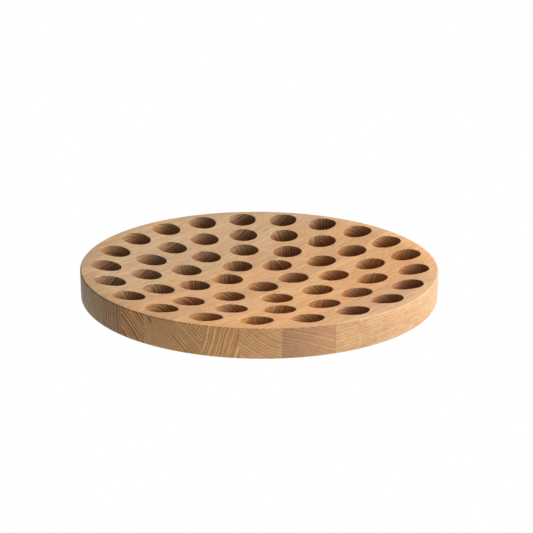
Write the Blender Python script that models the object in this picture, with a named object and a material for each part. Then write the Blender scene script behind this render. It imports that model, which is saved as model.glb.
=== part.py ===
"""Round oak tray with egg pockets, built as it is made in the workshop.

Oak staves are edge-glued side by side, turned to a disc with a dished top, and drilled with
rings of flat-bottomed pockets. Every stave is an object of its own.
Metres, +Z up, +X along the grain. The origin is the centre of the underside.
"""

import math

import bmesh
import bpy
from mathutils import Matrix, Vector

# ---- Driving dimensions ------------------------------------------------------------------------

MM = 0.001

DISC_RADIUS = 185.0 * MM        # outer edge of the turned disc
THICKNESS = 30.0 * MM           # underside to the flat land around the rim
TOP_EDGE_ROUND = 2.5 * MM       # rounding of the upper rim edge
BOTTOM_EDGE_ROUND = 1.7 * MM    # rounding of the lower rim edge

DISH_RADIUS = 170.0 * MM        # where the dish would meet the rim land
DISH_DEPTH = 15.0 * MM          # rim land to the middle of the dish
DISH_BLEND_RADIUS = 60.0 * MM   # soft shoulder between the dish and the rim land

STAVE_WIDTH = 30.0 * MM
STAVE_COUNT = 13
PANEL_SHIFT = 2.7 * MM          # the middle stave sits this far off the disc's axis, towards +Y
GLUE_GAP = 0.3 * MM             # left open between neighbouring staves for the glue line

POCKET_RADIUS = 16.0 * MM
POCKET_FLOOR = 5.0 * MM         # wood left under every pocket
DRILL_TOP = THICKNESS + 5.0 * MM

# Rings of pockets, from the rim inwards: name, pockets in the ring, ring radius, angle of the
# ring's first pocket from +X.
POCKET_RINGS = (
    ("outer", 21, 159.3 * MM, 98.15),
    ("third", 16, 118.1 * MM, 115.9),
    ("second", 10, 77.0 * MM, 196.1),
    ("inner", 5, 35.9 * MM, 224.1),
)

# ---- Fineness of the curved surfaces -----------------------------------------------------------

DISC_STEPS = 96
DISH_STEPS = 7
BLEND_STEPS = 3
EDGE_STEPS = 3
POCKET_STEPS = 32

SHARP_ANGLE = math.radians(30.0)

# Oak tones of the staves from the -Y side to the +Y side (linear red, green, blue).
STAVE_TONES = (
    (0.50, 0.31, 0.16),
    (0.55, 0.34, 0.18),
    (0.46, 0.27, 0.13),
    (0.53, 0.33, 0.17),
    (0.58, 0.37, 0.20),
    (0.44, 0.26, 0.13),
    (0.52, 0.32, 0.16),
    (0.49, 0.29, 0.14),
    (0.56, 0.35, 0.18),
    (0.47, 0.28, 0.14),
    (0.54, 0.33, 0.17),
    (0.51, 0.31, 0.16),
    (0.57, 0.36, 0.19),
)
WOOD_ROUGHNESS = 0.55


# ---- Helpers -----------------------------------------------------------------------------------

def clear_scene():
    """Remove every object that the scene starts with."""
    for obj in list(bpy.data.objects):
        bpy.data.objects.remove(obj, do_unlink=True)


def new_object(name, mesh_builder):
    """Make a scene object from a bmesh, and free the bmesh."""
    mesh = bpy.data.meshes.new(name)
    mesh_builder.to_mesh(mesh)
    mesh_builder.free()
    obj = bpy.data.objects.new(name, mesh)
    bpy.context.scene.collection.objects.link(obj)
    return obj


def hide_tool(obj):
    """Mark an object as a cutter, which is no piece of the tray."""
    obj.hide_render = True
    obj.display_type = 'WIRE'


def arc(centre, radius, start_deg, end_deg, steps):
    """Points (r, z) along an arc, from start to end, in degrees from the +r direction."""
    points = []
    for i in range(steps + 1):
        angle = math.radians(start_deg + (end_deg - start_deg) * i / steps)
        points.append((centre[0] + radius * math.cos(angle), centre[1] + radius * math.sin(angle)))
    return points


def oak(name, tone):
    """Plain oiled oak."""
    material = bpy.data.materials.new(name)
    material.use_nodes = True
    shader = material.node_tree.nodes["Principled BSDF"]
    shader.inputs["Base Color"].default_value = (*tone, 1.0)
    shader.inputs["Roughness"].default_value = WOOD_ROUGHNESS
    shader.inputs["Metallic"].default_value = 0.0
    return material


# ---- The turned shape --------------------------------------------------------------------------

def turned_profile():
    """Outline (r, z) of half the disc, from the middle of the dish round to the underside."""
    sphere = (DISH_RADIUS ** 2 + DISH_DEPTH ** 2) / (2.0 * DISH_DEPTH)
    sphere_z = THICKNESS - DISH_DEPTH + sphere

    # The shoulder is an arc that lies on the land and on the dish: it is tangent to the land
    # from below, and to the dish's sphere from outside.
    blend_z = THICKNESS - DISH_BLEND_RADIUS
    reach = sphere + DISH_BLEND_RADIUS
    blend_r = math.sqrt(reach ** 2 - (sphere_z - blend_z) ** 2)
    blend_deg = math.degrees(math.atan2(sphere_z - blend_z, -blend_r))
    meet_deg = blend_deg - 180.0

    edge_r = DISC_RADIUS - TOP_EDGE_ROUND
    foot_r = DISC_RADIUS - BOTTOM_EDGE_ROUND

    profile = arc((0.0, sphere_z), sphere, -90.0, meet_deg, DISH_STEPS)
    profile += arc((blend_r, blend_z), DISH_BLEND_RADIUS, blend_deg, 90.0, BLEND_STEPS)[1:]
    profile += arc((edge_r, THICKNESS - TOP_EDGE_ROUND), TOP_EDGE_ROUND, 90.0, 0.0, EDGE_STEPS)
    profile += arc((foot_r, BOTTOM_EDGE_ROUND), BOTTOM_EDGE_ROUND, 0.0, -90.0, EDGE_STEPS)
    return profile


def turned_disc():
    """The whole disc, as it comes off the lathe."""
    profile = turned_profile()
    bm = bmesh.new()
    hub = bm.verts.new((0.0, 0.0, profile[0][1]))
    rings = []
    for r, z in profile[1:]:
        ring = []
        for i in range(DISC_STEPS):
            angle = 2.0 * math.pi * i / DISC_STEPS
            ring.append(bm.verts.new((r * math.cos(angle), r * math.sin(angle), z)))
        rings.append(ring)
    for i in range(DISC_STEPS):
        j = (i + 1) % DISC_STEPS
        bm.faces.new((hub, rings[0][i], rings[0][j]))
        for inner, outer in zip(rings, rings[1:]):
            bm.faces.new((inner[i], outer[i], outer[j], inner[j]))
    bm.faces.new(list(reversed(rings[-1])))
    disc = new_object("turned_disc", bm)
    hide_tool(disc)
    return disc


# ---- The pockets -------------------------------------------------------------------------------

def pocket_centres():
    """Centres (x, y) of all the pockets."""
    centres = []
    for _name, count, radius, first_deg in POCKET_RINGS:
        for i in range(count):
            angle = math.radians(first_deg + 360.0 * i / count)
            centres.append((radius * math.cos(angle), radius * math.sin(angle)))
    return centres


def pocket_drills(low_y, high_y):
    """The drills that reach a strip of the disc, as one cutter; None where no drill does."""
    height = DRILL_TOP - POCKET_FLOOR
    bm = bmesh.new()
    for x, y in pocket_centres():
        if y + POCKET_RADIUS < low_y or y - POCKET_RADIUS > high_y:
            continue
        place = Matrix.Translation(Vector((x, y, POCKET_FLOOR + height / 2.0)))
        bmesh.ops.create_cone(bm, cap_ends=True, segments=POCKET_STEPS, radius1=POCKET_RADIUS,
                              radius2=POCKET_RADIUS, depth=height, matrix=place)
    drills = new_object("pocket_drills", bm)
    hide_tool(drills)
    return drills


# ---- The staves --------------------------------------------------------------------------------

def stave_edges(index):
    """The two sides (low y, high y) of a stave, with half the glue gap off each inner side."""
    low = (index - STAVE_COUNT / 2.0) * STAVE_WIDTH + PANEL_SHIFT
    return low + GLUE_GAP / 2.0, low + STAVE_WIDTH - GLUE_GAP / 2.0


def stave(index, disc):
    """One oak stave, turned with the disc and drilled with it."""
    name = "stave_%02d" % (index + 1)
    low_y, high_y = stave_edges(index)
    blank_half_length = DISC_RADIUS + 10.0 * MM
    blank_height = THICKNESS + 10.0 * MM

    bm = bmesh.new()
    size = Matrix.Diagonal((2.0 * blank_half_length, high_y - low_y, blank_height, 1.0))
    place = Matrix.Translation(Vector((0.0, (low_y + high_y) / 2.0, THICKNESS / 2.0)))
    bmesh.ops.create_cube(bm, size=1.0, matrix=place @ size)
    obj = new_object(name, bm)

    turning = obj.modifiers.new("turned", 'BOOLEAN')
    turning.operation = 'INTERSECT'
    turning.solver = 'EXACT'
    turning.object = disc

    drilling = obj.modifiers.new("drilled", 'BOOLEAN')
    drilling.operation = 'DIFFERENCE'
    drilling.solver = 'EXACT'
    drilling.object = pocket_drills(low_y, high_y)

    obj.data.materials.append(oak("oak_" + name, STAVE_TONES[index]))
    obj.data.shade_smooth()
    obj.data.set_sharp_from_angle(angle=SHARP_ANGLE)
    return obj


def main():
    clear_scene()
    disc = turned_disc()
    for index in range(STAVE_COUNT):
        stave(index, disc)


main()
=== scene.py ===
"""Looks of the round oak tray with egg pockets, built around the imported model.

Every stave of the frame is replaced by a finer one: the same turned and drilled shape with
soft pocket mouths, tight glue joints and solid oak running through it.
"""

import math

import bmesh
import bpy
from mathutils import Matrix, Vector
from mathutils.geometry import delaunay_2d_cdt


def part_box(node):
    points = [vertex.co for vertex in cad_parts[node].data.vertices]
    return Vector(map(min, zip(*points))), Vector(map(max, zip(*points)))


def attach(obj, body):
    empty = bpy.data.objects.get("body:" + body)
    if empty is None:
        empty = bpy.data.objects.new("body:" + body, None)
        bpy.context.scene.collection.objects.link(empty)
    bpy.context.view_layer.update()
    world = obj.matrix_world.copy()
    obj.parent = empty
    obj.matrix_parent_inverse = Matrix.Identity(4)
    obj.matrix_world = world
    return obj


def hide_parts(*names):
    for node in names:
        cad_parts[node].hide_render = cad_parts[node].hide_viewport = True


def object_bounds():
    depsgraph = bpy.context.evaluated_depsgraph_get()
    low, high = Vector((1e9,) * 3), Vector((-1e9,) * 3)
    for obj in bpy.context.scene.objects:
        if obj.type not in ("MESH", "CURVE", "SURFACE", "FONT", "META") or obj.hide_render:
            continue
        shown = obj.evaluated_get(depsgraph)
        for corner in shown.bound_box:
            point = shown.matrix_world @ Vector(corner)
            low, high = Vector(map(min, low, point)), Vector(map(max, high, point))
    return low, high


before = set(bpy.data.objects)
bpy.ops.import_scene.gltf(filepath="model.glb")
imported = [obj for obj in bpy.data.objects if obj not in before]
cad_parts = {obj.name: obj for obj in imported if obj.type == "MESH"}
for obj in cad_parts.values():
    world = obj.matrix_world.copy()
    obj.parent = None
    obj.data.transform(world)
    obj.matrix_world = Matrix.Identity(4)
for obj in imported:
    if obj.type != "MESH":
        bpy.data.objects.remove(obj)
cad_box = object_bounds()

MM = 0.001

# ---- Sizes ------------------------------------------------------------------------------------

CAD_LOW, CAD_HIGH = [Vector(corner) for corner in cad_box]
DISC_RADIUS = (CAD_HIGH.x - CAD_LOW.x) / 2.0
THICKNESS = CAD_HIGH.z
TOP_EDGE_ROUND = 1.7 * MM
BOTTOM_EDGE_ROUND = 1.7 * MM

DISH_RADIUS = 170.0 * MM
DISH_DEPTH = 15.0 * MM
DISH_BLEND_RADIUS = 60.0 * MM

POCKET_RADIUS = 16.0 * MM
POCKET_FLOOR = 5.0 * MM
POCKET_MOUTH_ROUND = 0.5 * MM
POCKET_CORNER_ROUND = 0.6 * MM

# Pockets in each ring, ring radius, angle of the ring's first pocket from +X in degrees.
POCKET_RINGS = (
    (21, 159.3 * MM, 98.15),
    (16, 118.1 * MM, 115.9),
    (10, 77.0 * MM, 196.1),
    (5, 35.9 * MM, 224.1),
)

GLUE_GAP = 0.3 * MM           # the frame's staves stand this far apart; the pieces here meet
MIDDLE_LOW, MIDDLE_HIGH = [Vector(corner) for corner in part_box("stave_07")]
STAVE_WIDTH = MIDDLE_HIGH.y - MIDDLE_LOW.y + GLUE_GAP
PANEL_SHIFT = (MIDDLE_HIGH.y + MIDDLE_LOW.y) / 2.0

# ---- Fineness ---------------------------------------------------------------------------------

RIM_STEPS = 256
POCKET_STEPS = 64
EDGE_STEPS = 6
CORNER_STEPS = 2
TOP_SPACING = 6.0 * MM
SUPPORT = 0.5 * MM            # a close line of points beside every rounding keeps it crisp
SHARP_ANGLE = math.radians(20.0)
TOUCH = 1e-6

# ---- Wood -------------------------------------------------------------------------------------

# Each stave: its pith line (across and up from the stave's middle in mm, and the two slopes
# along the grain), the mean width of its growth rings in mm, the dark share of a ring, the
# strength of the dark bands on end grain, and the tones of its side grain and end grain.
STAVE_LOOKS = (
    ((-20.0, -130.0, 0.010, 0.012), 3.4, 0.45, 0.28, (0.62, 0.39, 0.20), (0.53, 0.32, 0.14)),
    ((45.0, -78.0, 0.010, 0.020), 2.4, 0.50, 0.34, (0.67, 0.39, 0.18), (0.41, 0.23, 0.12)),
    ((-55.0, 75.0, 0.015, -0.010), 2.8, 0.45, 0.46, (0.74, 0.40, 0.17), (0.57, 0.33, 0.15)),
    ((140.0, 35.0, 0.010, 0.010), 3.4, 0.66, 0.73, (0.73, 0.41, 0.17), (0.66, 0.40, 0.18)),
    ((69.0, -58.0, 0.010, 0.015), 2.6, 0.45, 0.70, (0.69, 0.41, 0.19), (0.54, 0.32, 0.13)),
    ((39.0, -58.0, 0.010, 0.015), 2.8, 0.40, 0.25, (0.61, 0.36, 0.17), (0.45, 0.26, 0.11)),
    ((66.0, -70.0, -0.010, 0.020), 3.4, 0.62, 1.15, (0.64, 0.38, 0.18), (0.60, 0.39, 0.18)),
    ((-140.0, 10.0, 0.010, 0.010), 2.6, 0.50, 0.95, (0.58, 0.36, 0.18), (0.38, 0.24, 0.12)),
    # Staves 9 to 13 lie on the camera's left, away from the lamps. Their greyer, darker tones are
    # partly their own wood and partly painted cool shade.
    ((120.0, -30.0, 0.010, -0.010), 2.6, 0.50, 0.95, (0.56, 0.37, 0.20), (0.42, 0.31, 0.17)),
    ((80.0, 60.0, -0.015, 0.010), 2.8, 0.50, 0.84, (0.54, 0.36, 0.20), (0.40, 0.30, 0.18)),
    ((-70.0, -80.0, 0.010, 0.010), 3.0, 0.45, 0.63, (0.54, 0.37, 0.21), (0.37, 0.27, 0.17)),
    ((50.0, -90.0, 0.015, 0.010), 3.0, 0.50, 0.58, (0.52, 0.35, 0.20), (0.38, 0.26, 0.14)),
    ((-40.0, 70.0, 0.010, -0.015), 3.2, 0.45, 0.53, (0.58, 0.39, 0.21), (0.41, 0.27, 0.14)),
)
# A small reddish mineral fleck in the end grain of one stave: its place and half-sizes in mm,
# and its slant as the rise for every mm across the stave.
FLECK_STAVE = 6
FLECK_PLACE = (-184.0, -19.5, 26.0)
FLECK_SIZE = (4.0, 3.4, 2.8)
FLECK_SLANT = 0.8
FLECK_TONE = (0.25, 0.090, 0.045)

# Tones of the features, or what each leaves of the tone around it.
EARLY_WOOD = (0.46, 0.29, 0.18)   # the porous dark band of a ring
RAY_TONE = (0.72, 0.50, 0.30)
PORE_TONE = (0.16, 0.080, 0.035)
POCKET_SHADE_TONE = (0.55, 0.33, 0.185)        # painted shade, darkest at the bottom of a pocket
BLUSH = (1.0, 0.91, 0.86)         # the redder streaks along the grain
DASH = (0.92, 0.83, 0.75)         # a short dash along the grain

SIDE_CONTRAST = 0.12              # strength of the dark bands on side grain
POCKET_KEEP = 0.55                # share of that strength that a pocket keeps
POCKET_CONTRAST = 0.27            # strength that every pocket has besides
SHADE_FROM_DEPTH = -3.0                # depth below the dish, in mm, where the painted shade in a pocket starts
SHADE_DARKEST_DEPTH = 13.0                  # and where the painted shade is darkest
GLOSS = 0.40                      # specular level of the oiled wood
SHEEN = 0.15                      # a faint haze at glancing angles
SHEEN_ROUGHNESS = 0.30
RELIEF_STRENGTH = 0.35
RELIEF_DEPTH = 0.15 * MM

# How fast each pattern changes along the grain, across it and upwards, per mm.
WANDER_SCALE = (0.008, 0.03, 0.03)
RIPPLE_SCALE = (0.02, 0.16, 0.16)
FIBRE_SCALE = (0.035, 1.3, 1.3)
STREAK_SCALE = (0.014, 0.20, 0.20)
BLOTCH_SCALE = (0.010, 0.035, 0.035)
DASH_SCALE = (0.075, 0.62, 0.62)
PORE_SCALE = (0.11, 2.1, 2.1)
YEAR_SCALE = 0.13
WANDER_SIZE = (0.0, 5.0, 5.0)     # how far the grain wanders, in mm
RIPPLE = 1.6                      # height of the unevenness of a ring, in mm
YEAR_DRIFT = 2.6                  # how many rings the uneven widths add up to
BAND_EDGE = 0.2                   # half the width of a dark band's soft edge, in rings
BAND_RISE = 0.86                  # where in its ring the next dark band begins to show
SEED_STEP = 173.0                 # distance between the patterns of two staves, in mm

# ---- Studio -----------------------------------------------------------------------------------

FLOOR_HALF_SIZE = 4.0
FLOOR_GLOW = 1.0
FLOOR_DROP = 0.2 * MM         # keeps the floor clear of the underside
ROOM_STRENGTH = 0.05
# Distant lights: name, azimuth from the camera's, elevation and angular size, strength.
SUNS = (
    ("back_window", 140.0, 40.0, 40.0, 1.54),
    ("right_window", 65.0, 28.0, 30.0, 1.21),
    ("front_window", 10.0, 35.0, 40.0, 0.60),
)
# Near lights: name, azimuth from the camera's, distance, height, size, watts.
LAMPS = (
    ("right_lamp", 120.0, 0.85, 0.75, 0.7, 8.5),
    ("low_lamp", 60.0, 0.85, 0.35, 0.5, 2.6),
)

# ---- View -------------------------------------------------------------------------------------

VIEW_AZIMUTH = -50.9
VIEW_ELEVATION = 18.9
VIEW_DISTANCE = 1.263
VIEW_ROLL = 0.54
VIEW_SIDE = 7.3 * MM          # the aim point's offset to the camera's right
VIEW_DROP = 5.0 * MM          # the aim point's depth below the rim
LENS = 81.9
SENSOR = 36.0


def sideways(azimuth, radius, height):
    """A point around the tray: azimuth 0 is in front of it, on the -Y side, and 90 is at +X."""
    angle = math.radians(azimuth - 90.0)
    return Vector((radius * math.cos(angle), radius * math.sin(angle), height))


# ---- Turned and drilled shape -----------------------------------------------------------------

def top_height(r):
    """Height of the top face at a radius, from the middle of the dish to the rim land."""
    sphere = (DISH_RADIUS ** 2 + DISH_DEPTH ** 2) / (2.0 * DISH_DEPTH)
    sphere_z = THICKNESS - DISH_DEPTH + sphere
    blend_z = THICKNESS - DISH_BLEND_RADIUS
    reach = sphere + DISH_BLEND_RADIUS
    blend_r = math.sqrt(reach ** 2 - (sphere_z - blend_z) ** 2)
    if r >= blend_r:
        return THICKNESS
    if r >= blend_r * sphere / reach:
        return blend_z + math.sqrt(DISH_BLEND_RADIUS ** 2 - (r - blend_r) ** 2)
    return sphere_z - math.sqrt(sphere ** 2 - r ** 2)


def top_point(x, y):
    """The point of the top face above (x, y)."""
    return Vector((x, y, top_height(math.hypot(x, y))))


def circle(radius, steps, centre=(0.0, 0.0)):
    """Points (x, y) around a circle, counter-clockwise from +X."""
    points = []
    for i in range(steps):
        angle = 2.0 * math.pi * i / steps
        points.append((centre[0] + radius * math.cos(angle), centre[1] + radius * math.sin(angle)))
    return points


def pocket_centres():
    """Centres (x, y) of all the pockets."""
    centres = []
    for count, radius, first in POCKET_RINGS:
        for i in range(count):
            angle = math.radians(first + 360.0 * i / count)
            centres.append((radius * math.cos(angle), radius * math.sin(angle)))
    return centres


def loop_edges(first, count):
    """Edges of a closed loop of points numbered from first."""
    return [(first + i, first + (i + 1) % count) for i in range(count)]


def top_layout(centres):
    """Points and constrained loops of the top face, with a loop around every pocket mouth."""
    land = DISC_RADIUS - TOP_EDGE_ROUND
    mouth = POCKET_RADIUS + POCKET_MOUTH_ROUND
    points = circle(land, RIM_STEPS)
    edges = loop_edges(0, RIM_STEPS)
    mouth_starts = []
    for centre in centres:
        mouth_starts.append(len(points))
        edges += loop_edges(len(points), POCKET_STEPS)
        points += circle(mouth, POCKET_STEPS, centre)

    loose = circle(land - SUPPORT, RIM_STEPS)
    for centre in centres:
        loose += circle(mouth + SUPPORT, POCKET_STEPS, centre)
    rings = int((land - TOP_SPACING / 2.0) / TOP_SPACING)
    for ring in range(rings + 1):
        radius = TOP_SPACING / 2.0 + ring * TOP_SPACING
        steps = max(6, round(2.0 * math.pi * radius / TOP_SPACING))
        clear = mouth + 2.0 * SUPPORT + TOP_SPACING / 4.0
        for x, y in circle(radius, steps):
            if all(math.hypot(x - cx, y - cy) > clear for cx, cy in centres):
                loose.append((x, y))
    return points + loose, edges, mouth_starts


def add_strip(bm, upper, lower):
    """Quads between two closed rows of vertices, facing outwards for counter-clockwise rows."""
    count = len(upper)
    for i in range(count):
        j = (i + 1) % count
        bm.faces.new((upper[i], lower[i], lower[j], upper[j]))


def add_pocket(bm, mouth, centre):
    """Rounded mouth, straight wall, rounded corner and flat floor of one pocket."""
    cx, cy = centre
    row = mouth
    for step in range(1, EDGE_STEPS + 1):
        angle = 0.5 * math.pi * step / EDGE_STEPS
        radius = POCKET_RADIUS + POCKET_MOUTH_ROUND * (1.0 - math.sin(angle))
        drop = POCKET_MOUTH_ROUND * (1.0 - math.cos(angle))
        lower = []
        for x, y in circle(radius, POCKET_STEPS, centre):
            lower.append(bm.verts.new((x, y, top_height(math.hypot(x, y)) - drop)))
        add_strip(bm, list(reversed(row)), list(reversed(lower)))
        row = lower
    for step in range(CORNER_STEPS + 1):
        angle = 0.5 * math.pi * step / CORNER_STEPS
        radius = POCKET_RADIUS - POCKET_CORNER_ROUND * (1.0 - math.cos(angle))
        height = POCKET_FLOOR + POCKET_CORNER_ROUND * (1.0 - math.sin(angle))
        lower = [bm.verts.new((x, y, height)) for x, y in circle(radius, POCKET_STEPS, centre)]
        add_strip(bm, list(reversed(row)), list(reversed(lower)))
        row = lower
    hub = bm.verts.new((cx, cy, POCKET_FLOOR))
    for i in range(POCKET_STEPS):
        bm.faces.new((row[i], row[(i + 1) % POCKET_STEPS], hub))


def add_rim(bm, land):
    """Rounded upper edge, side wall, rounded lower edge and underside."""
    row = land
    for step in range(1, EDGE_STEPS + 1):
        angle = 0.5 * math.pi * step / EDGE_STEPS
        radius = DISC_RADIUS - TOP_EDGE_ROUND * (1.0 - math.sin(angle))
        height = THICKNESS - TOP_EDGE_ROUND * (1.0 - math.cos(angle))
        lower = [bm.verts.new((x, y, height)) for x, y in circle(radius, RIM_STEPS)]
        add_strip(bm, row, lower)
        row = lower
    for step in range(EDGE_STEPS + 1):
        angle = 0.5 * math.pi * step / EDGE_STEPS
        radius = DISC_RADIUS - BOTTOM_EDGE_ROUND * (1.0 - math.cos(angle))
        height = BOTTOM_EDGE_ROUND * (1.0 - math.sin(angle))
        lower = [bm.verts.new((x, y, height)) for x, y in circle(radius, RIM_STEPS)]
        add_strip(bm, row, lower)
        row = lower
    bm.faces.new(list(reversed(row)))


def turned_tray():
    """The whole tray as one closed mesh, before it is parted into its staves."""
    centres = pocket_centres()
    points, edges, mouth_starts = top_layout(centres)
    flat = [Vector(point) for point in points]
    cut = delaunay_2d_cdt(flat, edges, [], 0, TOUCH)
    triangles = cut[2]

    bm = bmesh.new()
    verts = [bm.verts.new(top_point(x, y)) for x, y in points]
    inside = POCKET_RADIUS + POCKET_MOUTH_ROUND
    for a, b, c in triangles:
        middle = (flat[a] + flat[b] + flat[c]) / 3.0
        if any(math.hypot(middle.x - x, middle.y - y) < inside for x, y in centres):
            continue
        bm.faces.new((verts[a], verts[b], verts[c]))
    for centre, start in zip(centres, mouth_starts):
        add_pocket(bm, verts[start:start + POCKET_STEPS], centre)
    add_rim(bm, verts[:RIM_STEPS])
    return bm


def part_off(bm, y, keep_above):
    """Cut a mesh with the plane at y, throw one side away and close the cut."""
    everything = bm.verts[:] + bm.edges[:] + bm.faces[:]
    cut = bmesh.ops.bisect_plane(bm, geom=everything, dist=TOUCH, plane_co=(0.0, y, 0.0),
                                 plane_no=(0.0, 1.0, 0.0), clear_inner=keep_above,
                                 clear_outer=not keep_above)
    edges = [item for item in cut["geom_cut"] if isinstance(item, bmesh.types.BMEdge)]
    bmesh.ops.edgenet_fill(bm, edges=edges, mat_nr=0)


def stave_mesh(tray, name):
    """The part of the tray that belongs to a stave, reaching to the middle of its glue lines."""
    low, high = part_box(name)
    bm = tray.copy()
    if low[1] - GLUE_GAP > CAD_LOW.y:
        part_off(bm, low[1] - GLUE_GAP / 2.0, keep_above=True)
    if high[1] + GLUE_GAP < CAD_HIGH.y:
        part_off(bm, high[1] + GLUE_GAP / 2.0, keep_above=False)
    bmesh.ops.triangulate(bm, faces=[face for face in bm.faces if len(face.verts) > 4])
    bmesh.ops.recalc_face_normals(bm, faces=bm.faces)
    mesh = bpy.data.meshes.new(name + "_wood")
    bm.to_mesh(mesh)
    bm.free()
    mesh.shade_smooth()
    mesh.set_sharp_from_angle(angle=SHARP_ANGLE)
    return mesh


# ---- Shader building --------------------------------------------------------------------------

class Shader:
    """A material under construction, with short calls for the nodes that the wood needs."""

    def __init__(self, name):
        self.material = bpy.data.materials.new(name)
        self.material.use_nodes = True
        self.tree = self.material.node_tree
        self.principled = self.tree.nodes["Principled BSDF"]

    def node(self, kind, **settings):
        """Add a node and set its properties."""
        node = self.tree.nodes.new(kind)
        for key, value in settings.items():
            setattr(node, key, value)
        return node

    def feed(self, socket, value):
        """Link an output to a socket, or set the socket's constant."""
        if isinstance(value, bpy.types.NodeSocket):
            self.tree.links.new(value, socket)
        else:
            socket.default_value = value

    def math(self, operation, *values, clamp=False):
        """One Math node."""
        node = self.node("ShaderNodeMath", operation=operation, use_clamp=clamp)
        for socket, value in zip(node.inputs, values):
            self.feed(socket, value)
        return node.outputs[0]

    def vector(self, operation, *values):
        """One Vector Math node with a vector result."""
        node = self.node("ShaderNodeVectorMath", operation=operation)
        for socket, value in zip(node.inputs, values):
            self.feed(socket, value)
        return node.outputs[0]

    def join(self, x, y, z):
        """A vector from three numbers."""
        node = self.node("ShaderNodeCombineXYZ")
        for socket, value in zip(node.inputs, (x, y, z)):
            self.feed(socket, value)
        return node.outputs[0]

    def split(self, vector):
        """The three numbers of a vector."""
        node = self.node("ShaderNodeSeparateXYZ")
        self.feed(node.inputs[0], vector)
        return node.outputs

    def noise(self, vector, detail=2.0, rough=0.5, colour=False):
        """Perlin noise at a scale of 1, as a number or as three."""
        node = self.node("ShaderNodeTexNoise")
        self.feed(node.inputs["Vector"], vector)
        node.inputs["Scale"].default_value = 1.0
        node.inputs["Detail"].default_value = detail
        node.inputs["Roughness"].default_value = rough
        return node.outputs["Color" if colour else "Fac"]

    def remap(self, value, low, high, to_low=0.0, to_high=1.0):
        """A number moved from one range to another with a soft step."""
        node = self.node("ShaderNodeMapRange", interpolation_type='SMOOTHSTEP')
        for socket, item in zip(node.inputs, (value, low, high, to_low, to_high)):
            self.feed(socket, item)
        return node.outputs[0]

    def blend(self, factor, first, second, mode='MIX'):
        """Two colours mixed by a factor."""
        node = self.node("ShaderNodeMix", data_type='RGBA', blend_type=mode)
        self.feed(node.inputs[0], factor)
        self.feed(node.inputs[6], first)
        self.feed(node.inputs[7], second)
        return node.outputs[2]

    def tint(self, factor, colour, share):
        """A colour multiplied by a share of each channel, as far as the factor says."""
        return self.blend(factor, colour, share + (1.0,), mode='MULTIPLY')


# ---- Oak --------------------------------------------------------------------------------------

def pith_offsets(s, point, shift, pith, middle_y):
    """Place along the grain and the two offsets from the pith line, with a slow wander added."""
    wander = s.noise(s.vector('MULTIPLY', shift, WANDER_SCALE), detail=1.0, colour=True)
    wander = s.vector('MULTIPLY', s.vector('SUBTRACT', wander, (0.5, 0.5, 0.5)), WANDER_SIZE)
    x, y, z = s.split(s.vector('ADD', point, wander))
    middle_z = THICKNESS / 2.0 / MM
    away_y = s.math('SUBTRACT', y, s.math('MULTIPLY_ADD', x, pith[2], middle_y + pith[0]))
    away_z = s.math('SUBTRACT', z, s.math('MULTIPLY_ADD', x, pith[3], middle_z + pith[1]))
    return x, away_y, away_z


def ring_radius(s, shift, away_y, away_z):
    """Distance from the pith line, a little uneven."""
    radius = s.math('SQRT', s.math('ADD', s.math('MULTIPLY', away_y, away_y),
                                   s.math('MULTIPLY', away_z, away_z)))
    ripple = s.noise(s.vector('MULTIPLY', shift, RIPPLE_SCALE), detail=2.0)
    return s.math('MULTIPLY_ADD', ripple, RIPPLE, radius)


def growth_rings(s, radius, spacing, dark_share, seed):
    """How much a point lies in a porous dark band, which opens each year, and the year's tone."""
    uneven = s.noise(s.join(s.math('MULTIPLY', radius, YEAR_SCALE), seed * 7.0, 0.0), detail=1.0)
    years = s.math('MULTIPLY_ADD', uneven, YEAR_DRIFT, s.math('DIVIDE', radius, spacing))
    phase = s.math('FRACT', years)
    opening = s.math('SUBTRACT', 1.0, s.remap(phase, dark_share - BAND_EDGE, dark_share + BAND_EDGE))
    early = s.math('MAXIMUM', opening, s.remap(phase, BAND_RISE, 1.0))
    tone = s.node("ShaderNodeTexWhiteNoise", noise_dimensions='1D')
    s.feed(tone.inputs["W"], s.math('ADD', s.math('ROUND', years), seed * 31.0))
    return early, tone.outputs["Value"]


def pores(s, shift, early):
    """Long thin vessels, mostly in the porous bands."""
    vessels = s.node("ShaderNodeTexVoronoi", feature='F1')
    s.feed(vessels.inputs["Vector"], s.vector('MULTIPLY', shift, PORE_SCALE))
    vessels.inputs["Scale"].default_value = 1.0
    pore = s.math('SUBTRACT', 1.0, s.remap(vessels.outputs["Distance"], 0.18, 0.42))
    return s.math('MULTIPLY', pore, s.math('MULTIPLY_ADD', early, 0.85, 0.15))


def rays(s, x, away_y, away_z, radius, reach):
    """Thin pale sheets that stand on the rings. The pith lies at a distance of reach."""
    turn = s.math('MULTIPLY', s.math('ARCTAN2', away_z, away_y), reach * 1.1)
    sheets = s.noise(s.join(s.math('MULTIPLY', x, 0.07), turn, s.math('MULTIPLY', radius, 0.05)),
                     detail=1.0)
    return s.remap(sheets, 0.60, 0.68)


def pocket_mask(s, point):
    """1 in the pockets and 0 elsewhere, and the depth below the dish in mm.

    In a pocket is what lies clear of the rim, above the underside and below the dish.
    """
    along, across, height = s.split(point)
    out = s.math('ADD', s.math('MULTIPLY', along, along), s.math('MULTIPLY', across, across))
    dish = s.math('MULTIPLY_ADD', out, DISH_DEPTH * MM / DISH_RADIUS ** 2,
                  (THICKNESS - DISH_DEPTH) / MM)
    dish = s.math('MINIMUM', dish, THICKNESS / MM)
    deep = s.math('SUBTRACT', dish, height)
    clear_of_rim = s.math('LESS_THAN', out, (0.985 * DISC_RADIUS / MM) ** 2)
    above_base = s.math('GREATER_THAN', height, 0.5 * POCKET_FLOOR / MM)
    below_dish = s.math('GREATER_THAN', deep, 0.4)
    pocket = s.math('MULTIPLY', s.math('MULTIPLY', clear_of_rim, above_base), below_dish)
    return pocket, deep


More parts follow.
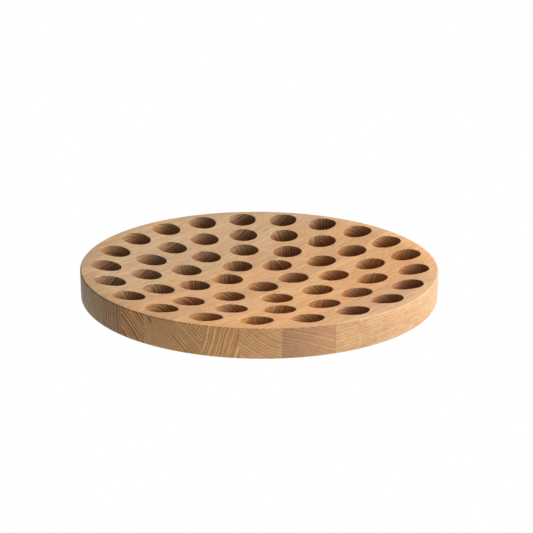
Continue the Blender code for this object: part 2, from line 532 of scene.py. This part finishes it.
def banded_tone(s, early, year, end, pocket, look):
    """Side or end grain with its dark bands, weaker and blurred by the drill in the pockets."""
    end_contrast, side_tone, end_tone = look[3:]
    light = s.blend(end, side_tone + (1.0,), end_tone + (1.0,))
    dark = s.tint(1.0, light, EARLY_WOOD)
    contrast = s.math('MULTIPLY_ADD', end, end_contrast - SIDE_CONTRAST, SIDE_CONTRAST)
    contrast = s.math('MULTIPLY', contrast, s.math('MULTIPLY_ADD', year, 0.6, 0.6))
    contrast = s.math('MULTIPLY', contrast,
                      s.math('MULTIPLY_ADD', pocket, POCKET_KEEP - 1.0, 1.0))
    contrast = s.math('MULTIPLY_ADD', pocket, POCKET_CONTRAST, contrast)
    return s.blend(s.math('MULTIPLY', early, contrast), light, dark)


def add_fleck(s, point, colour):
    """A small slanted fleck, fading at its edge."""
    off = s.split(s.vector('SUBTRACT', point, FLECK_PLACE))
    slanted = s.math('MULTIPLY_ADD', off[1], -FLECK_SLANT, off[2])
    away = s.node("ShaderNodeVectorMath", operation='LENGTH')
    s.feed(away.inputs[0], s.vector('DIVIDE', s.join(off[0], off[1], slanted), FLECK_SIZE))
    return s.blend(s.remap(away.outputs["Value"], 1.0, 0.5), colour, FLECK_TONE + (1.0,))


def add_glue_lines(s, point, side_low, side_high, colour):
    """A hair's breadth of darker wood on both sides of each joint."""
    across = s.split(point)[1]
    to_low = s.math('SUBTRACT', across, side_low / MM)
    to_high = s.math('SUBTRACT', side_high / MM, across)
    glue = s.math('SUBTRACT', 1.0, s.remap(s.math('MINIMUM', to_low, to_high), 0.05, 0.22))
    return s.blend(s.math('MULTIPLY', glue, 0.30), colour, PORE_TONE + (1.0,))


def oak_surface(s, end, pore, fibre, early):
    """Gloss and fine relief: open pores are rough and sunken, and end grain is duller."""
    roughness = s.math('MULTIPLY_ADD', pore, 0.20, s.math('MULTIPLY_ADD', fibre, 0.16, 0.46))
    roughness = s.math('MULTIPLY_ADD', end, 0.20, roughness)
    s.feed(s.principled.inputs["Roughness"], roughness)
    s.feed(s.principled.inputs["Specular IOR Level"], GLOSS)
    s.feed(s.principled.inputs["Sheen Weight"], SHEEN)
    s.feed(s.principled.inputs["Sheen Roughness"], SHEEN_ROUGHNESS)

    relief = s.math('MULTIPLY_ADD', pore, -0.7, s.math('MULTIPLY', fibre, 0.35))
    relief = s.math('SUBTRACT', relief, s.math('MULTIPLY', early, 0.15))
    bump = s.node("ShaderNodeBump")
    bump.inputs["Strength"].default_value = RELIEF_STRENGTH
    bump.inputs["Distance"].default_value = RELIEF_DEPTH
    s.feed(bump.inputs["Height"], relief)
    s.feed(s.principled.inputs["Normal"], bump.outputs["Normal"])


def oak_material(name, side_low, side_high, look, seed):
    """Solid oak: growth rings about a pith line, pores, rays and end grain, in millimetres."""
    pith, spacing, dark_share = look[:3]
    s = Shader(name)
    place = s.node("ShaderNodeTexCoord")
    point = s.vector('SCALE', place.outputs["Object"])
    point.node.inputs["Scale"].default_value = 1.0 / MM
    shift = s.vector('ADD', point, (seed * SEED_STEP, 0.0, 0.0))

    middle_y = (side_low + side_high) / 2.0 / MM
    x, away_y, away_z = pith_offsets(s, point, shift, pith, middle_y)
    radius = ring_radius(s, shift, away_y, away_z)
    early, year = growth_rings(s, radius, spacing, dark_share, seed)
    pore = pores(s, shift, early)
    ray = rays(s, x, away_y, away_z, radius, math.hypot(pith[0], pith[1]))
    pocket, deep = pocket_mask(s, point)

    # Fibres and slow changes of tone run along the grain.
    fibre = s.noise(s.vector('MULTIPLY', shift, FIBRE_SCALE), detail=3.0, rough=0.6)
    streak = s.noise(s.vector('MULTIPLY', shift, STREAK_SCALE), detail=2.0)
    blotch = s.noise(s.vector('MULTIPLY', shift, BLOTCH_SCALE), detail=1.0)
    dashes = s.noise(s.vector('MULTIPLY', shift, DASH_SCALE), detail=1.0)

    # End grain drinks more oil than side grain: it turns darker and its rings stand out.
    facing = s.split(place.outputs["Normal"])
    end = s.remap(s.math('ABSOLUTE', facing[0]), 0.15, 0.75)
    colour = banded_tone(s, early, year, end, pocket, look)

    changes = s.math('MULTIPLY_ADD', year, 0.08, 0.96)
    changes = s.math('MULTIPLY', changes, s.math('MULTIPLY_ADD', fibre, 0.34, 0.83))
    changes = s.math('MULTIPLY', changes, s.math('MULTIPLY_ADD', streak, -0.20, 1.12))
    changes = s.math('MULTIPLY', changes, s.math('MULTIPLY_ADD', blotch, 0.30, 0.85))
    colour = s.blend(1.0, colour, s.join(changes, changes, changes), mode='MULTIPLY')
    colour = s.tint(s.remap(streak, 0.35, 0.68), colour, BLUSH)
    dashed = s.math('MULTIPLY', s.remap(dashes, 0.46, 0.64), s.math('SUBTRACT', 1.0, end))
    colour = s.tint(dashed, colour, DASH)
    colour = s.blend(s.math('MULTIPLY', ray, s.math('MULTIPLY_ADD', end, -0.15, 0.22)), colour,
                     RAY_TONE + (1.0,))
    colour = s.blend(s.math('MULTIPLY', pore, s.math('MULTIPLY_ADD', end, 0.25, 0.25)), colour,
                     PORE_TONE + (1.0,))
    # Painted shade: each pocket turns darker the deeper it lies below the dish, as shade falls in a
    # recess.
    painted_pocket_shade = s.math('MULTIPLY', pocket, s.remap(deep, SHADE_FROM_DEPTH, SHADE_DARKEST_DEPTH))
    colour = s.tint(painted_pocket_shade, colour, POCKET_SHADE_TONE)

    if seed == FLECK_STAVE:
        colour = add_fleck(s, point, colour)
    colour = add_glue_lines(s, point, side_low, side_high, colour)
    s.feed(s.principled.inputs["Base Color"], colour)
    oak_surface(s, end, pore, fibre, early)
    return s.material


def add_staves():
    """One detailed piece for every stave of the frame."""
    tray = turned_tray()
    for index, look in enumerate(STAVE_LOOKS):
        node = "stave_%02d" % (index + 1)
        mesh = stave_mesh(tray, node)
        obj = bpy.data.objects.new(node + "_wood", mesh)
        bpy.context.scene.collection.objects.link(obj)
        side_low = (index - len(STAVE_LOOKS) / 2.0) * STAVE_WIDTH + PANEL_SHIFT
        mesh.materials.append(oak_material("oak_" + node, side_low, side_low + STAVE_WIDTH,
                                           look, index + 1))
        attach(obj, "root")
        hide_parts(node)
    tray.free()


# ---- Studio -----------------------------------------------------------------------------------

def add_floor():
    """A lit white table that shows no shadow."""
    bm = bmesh.new()
    bmesh.ops.create_grid(bm, x_segments=1, y_segments=1, size=FLOOR_HALF_SIZE)
    mesh = bpy.data.meshes.new("floor")
    bm.to_mesh(mesh)
    bm.free()
    floor = bpy.data.objects.new("floor", mesh)
    floor.location.z = -FLOOR_DROP
    bpy.context.scene.collection.objects.link(floor)
    material = bpy.data.materials.new("floor_lit")
    material.use_nodes = True
    shader = material.node_tree.nodes["Principled BSDF"]
    shader.inputs["Base Color"].default_value = (0.0, 0.0, 0.0, 1.0)
    shader.inputs["Roughness"].default_value = 0.9
    shader.inputs["Specular IOR Level"].default_value = 0.0
    shader.inputs["Emission Color"].default_value = (1.0, 1.0, 1.0, 1.0)
    shader.inputs["Emission Strength"].default_value = FLOOR_GLOW
    mesh.materials.append(material)


def add_light(data, towards, place):
    """Put a light at a place, shining away from a direction."""
    light = bpy.data.objects.new(data.name, data)
    light.location = place
    light.rotation_euler = (-towards).to_track_quat('-Z', 'Y').to_euler()
    bpy.context.scene.collection.objects.link(light)


def add_lights():
    """Soft lights from the right, the front and behind, in a dim room with a white backdrop."""
    for name, azimuth, elevation, spread, strength in SUNS:
        data = bpy.data.lights.new(name, 'SUN')
        data.energy = strength
        data.angle = math.radians(spread)
        rise = math.radians(elevation)
        towards = sideways(VIEW_AZIMUTH + azimuth, math.cos(rise), math.sin(rise))
        add_light(data, towards, towards)
    for name, azimuth, distance, height, size, watts in LAMPS:
        data = bpy.data.lights.new(name, 'AREA')
        data.shape = 'SQUARE'
        data.size = size
        data.energy = watts
        place = sideways(VIEW_AZIMUTH + azimuth, distance, height)
        add_light(data, place - Vector((0.0, 0.0, THICKNESS)), place)
    world = bpy.data.worlds.new("studio")
    world.use_nodes = True
    tree = world.node_tree
    # The camera sees a backdrop as white as the floor, and the room lights the tray dimly.
    background = tree.nodes["Background"]
    background.inputs["Color"].default_value = (1.0, 1.0, 1.0, 1.0)
    path = tree.nodes.new("ShaderNodeLightPath")
    strength = tree.nodes.new("ShaderNodeMapRange")
    strength.inputs["To Min"].default_value = ROOM_STRENGTH
    strength.inputs["To Max"].default_value = FLOOR_GLOW
    tree.links.new(path.outputs["Is Camera Ray"], strength.inputs["Value"])
    tree.links.new(strength.outputs["Result"], background.inputs["Strength"])
    bpy.context.scene.world = world


def add_camera():
    """A long lens that looks down at the tray across its grain."""
    elevation = math.radians(VIEW_ELEVATION)
    rim = Vector((0.0, 0.0, THICKNESS))
    eye = rim + sideways(VIEW_AZIMUTH, VIEW_DISTANCE * math.cos(elevation),
                         VIEW_DISTANCE * math.sin(elevation))
    right = sideways(VIEW_AZIMUTH + 90.0, 1.0, 0.0)
    target = rim + right * VIEW_SIDE - Vector((0.0, 0.0, VIEW_DROP))
    data = bpy.data.cameras.new("camera")
    data.lens = LENS
    data.sensor_width = SENSOR
    camera = bpy.data.objects.new("camera", data)
    aim = (target - eye).to_track_quat('-Z', 'Y')
    roll = Matrix.Rotation(math.radians(VIEW_ROLL), 4, 'Z')
    camera.matrix_world = Matrix.Translation(eye) @ aim.to_matrix().to_4x4() @ roll
    bpy.context.scene.collection.objects.link(camera)
    bpy.context.scene.camera = camera


bpy.context.scene.view_settings.view_transform = 'Standard'
add_staves()
add_floor()
add_lights()
add_camera()
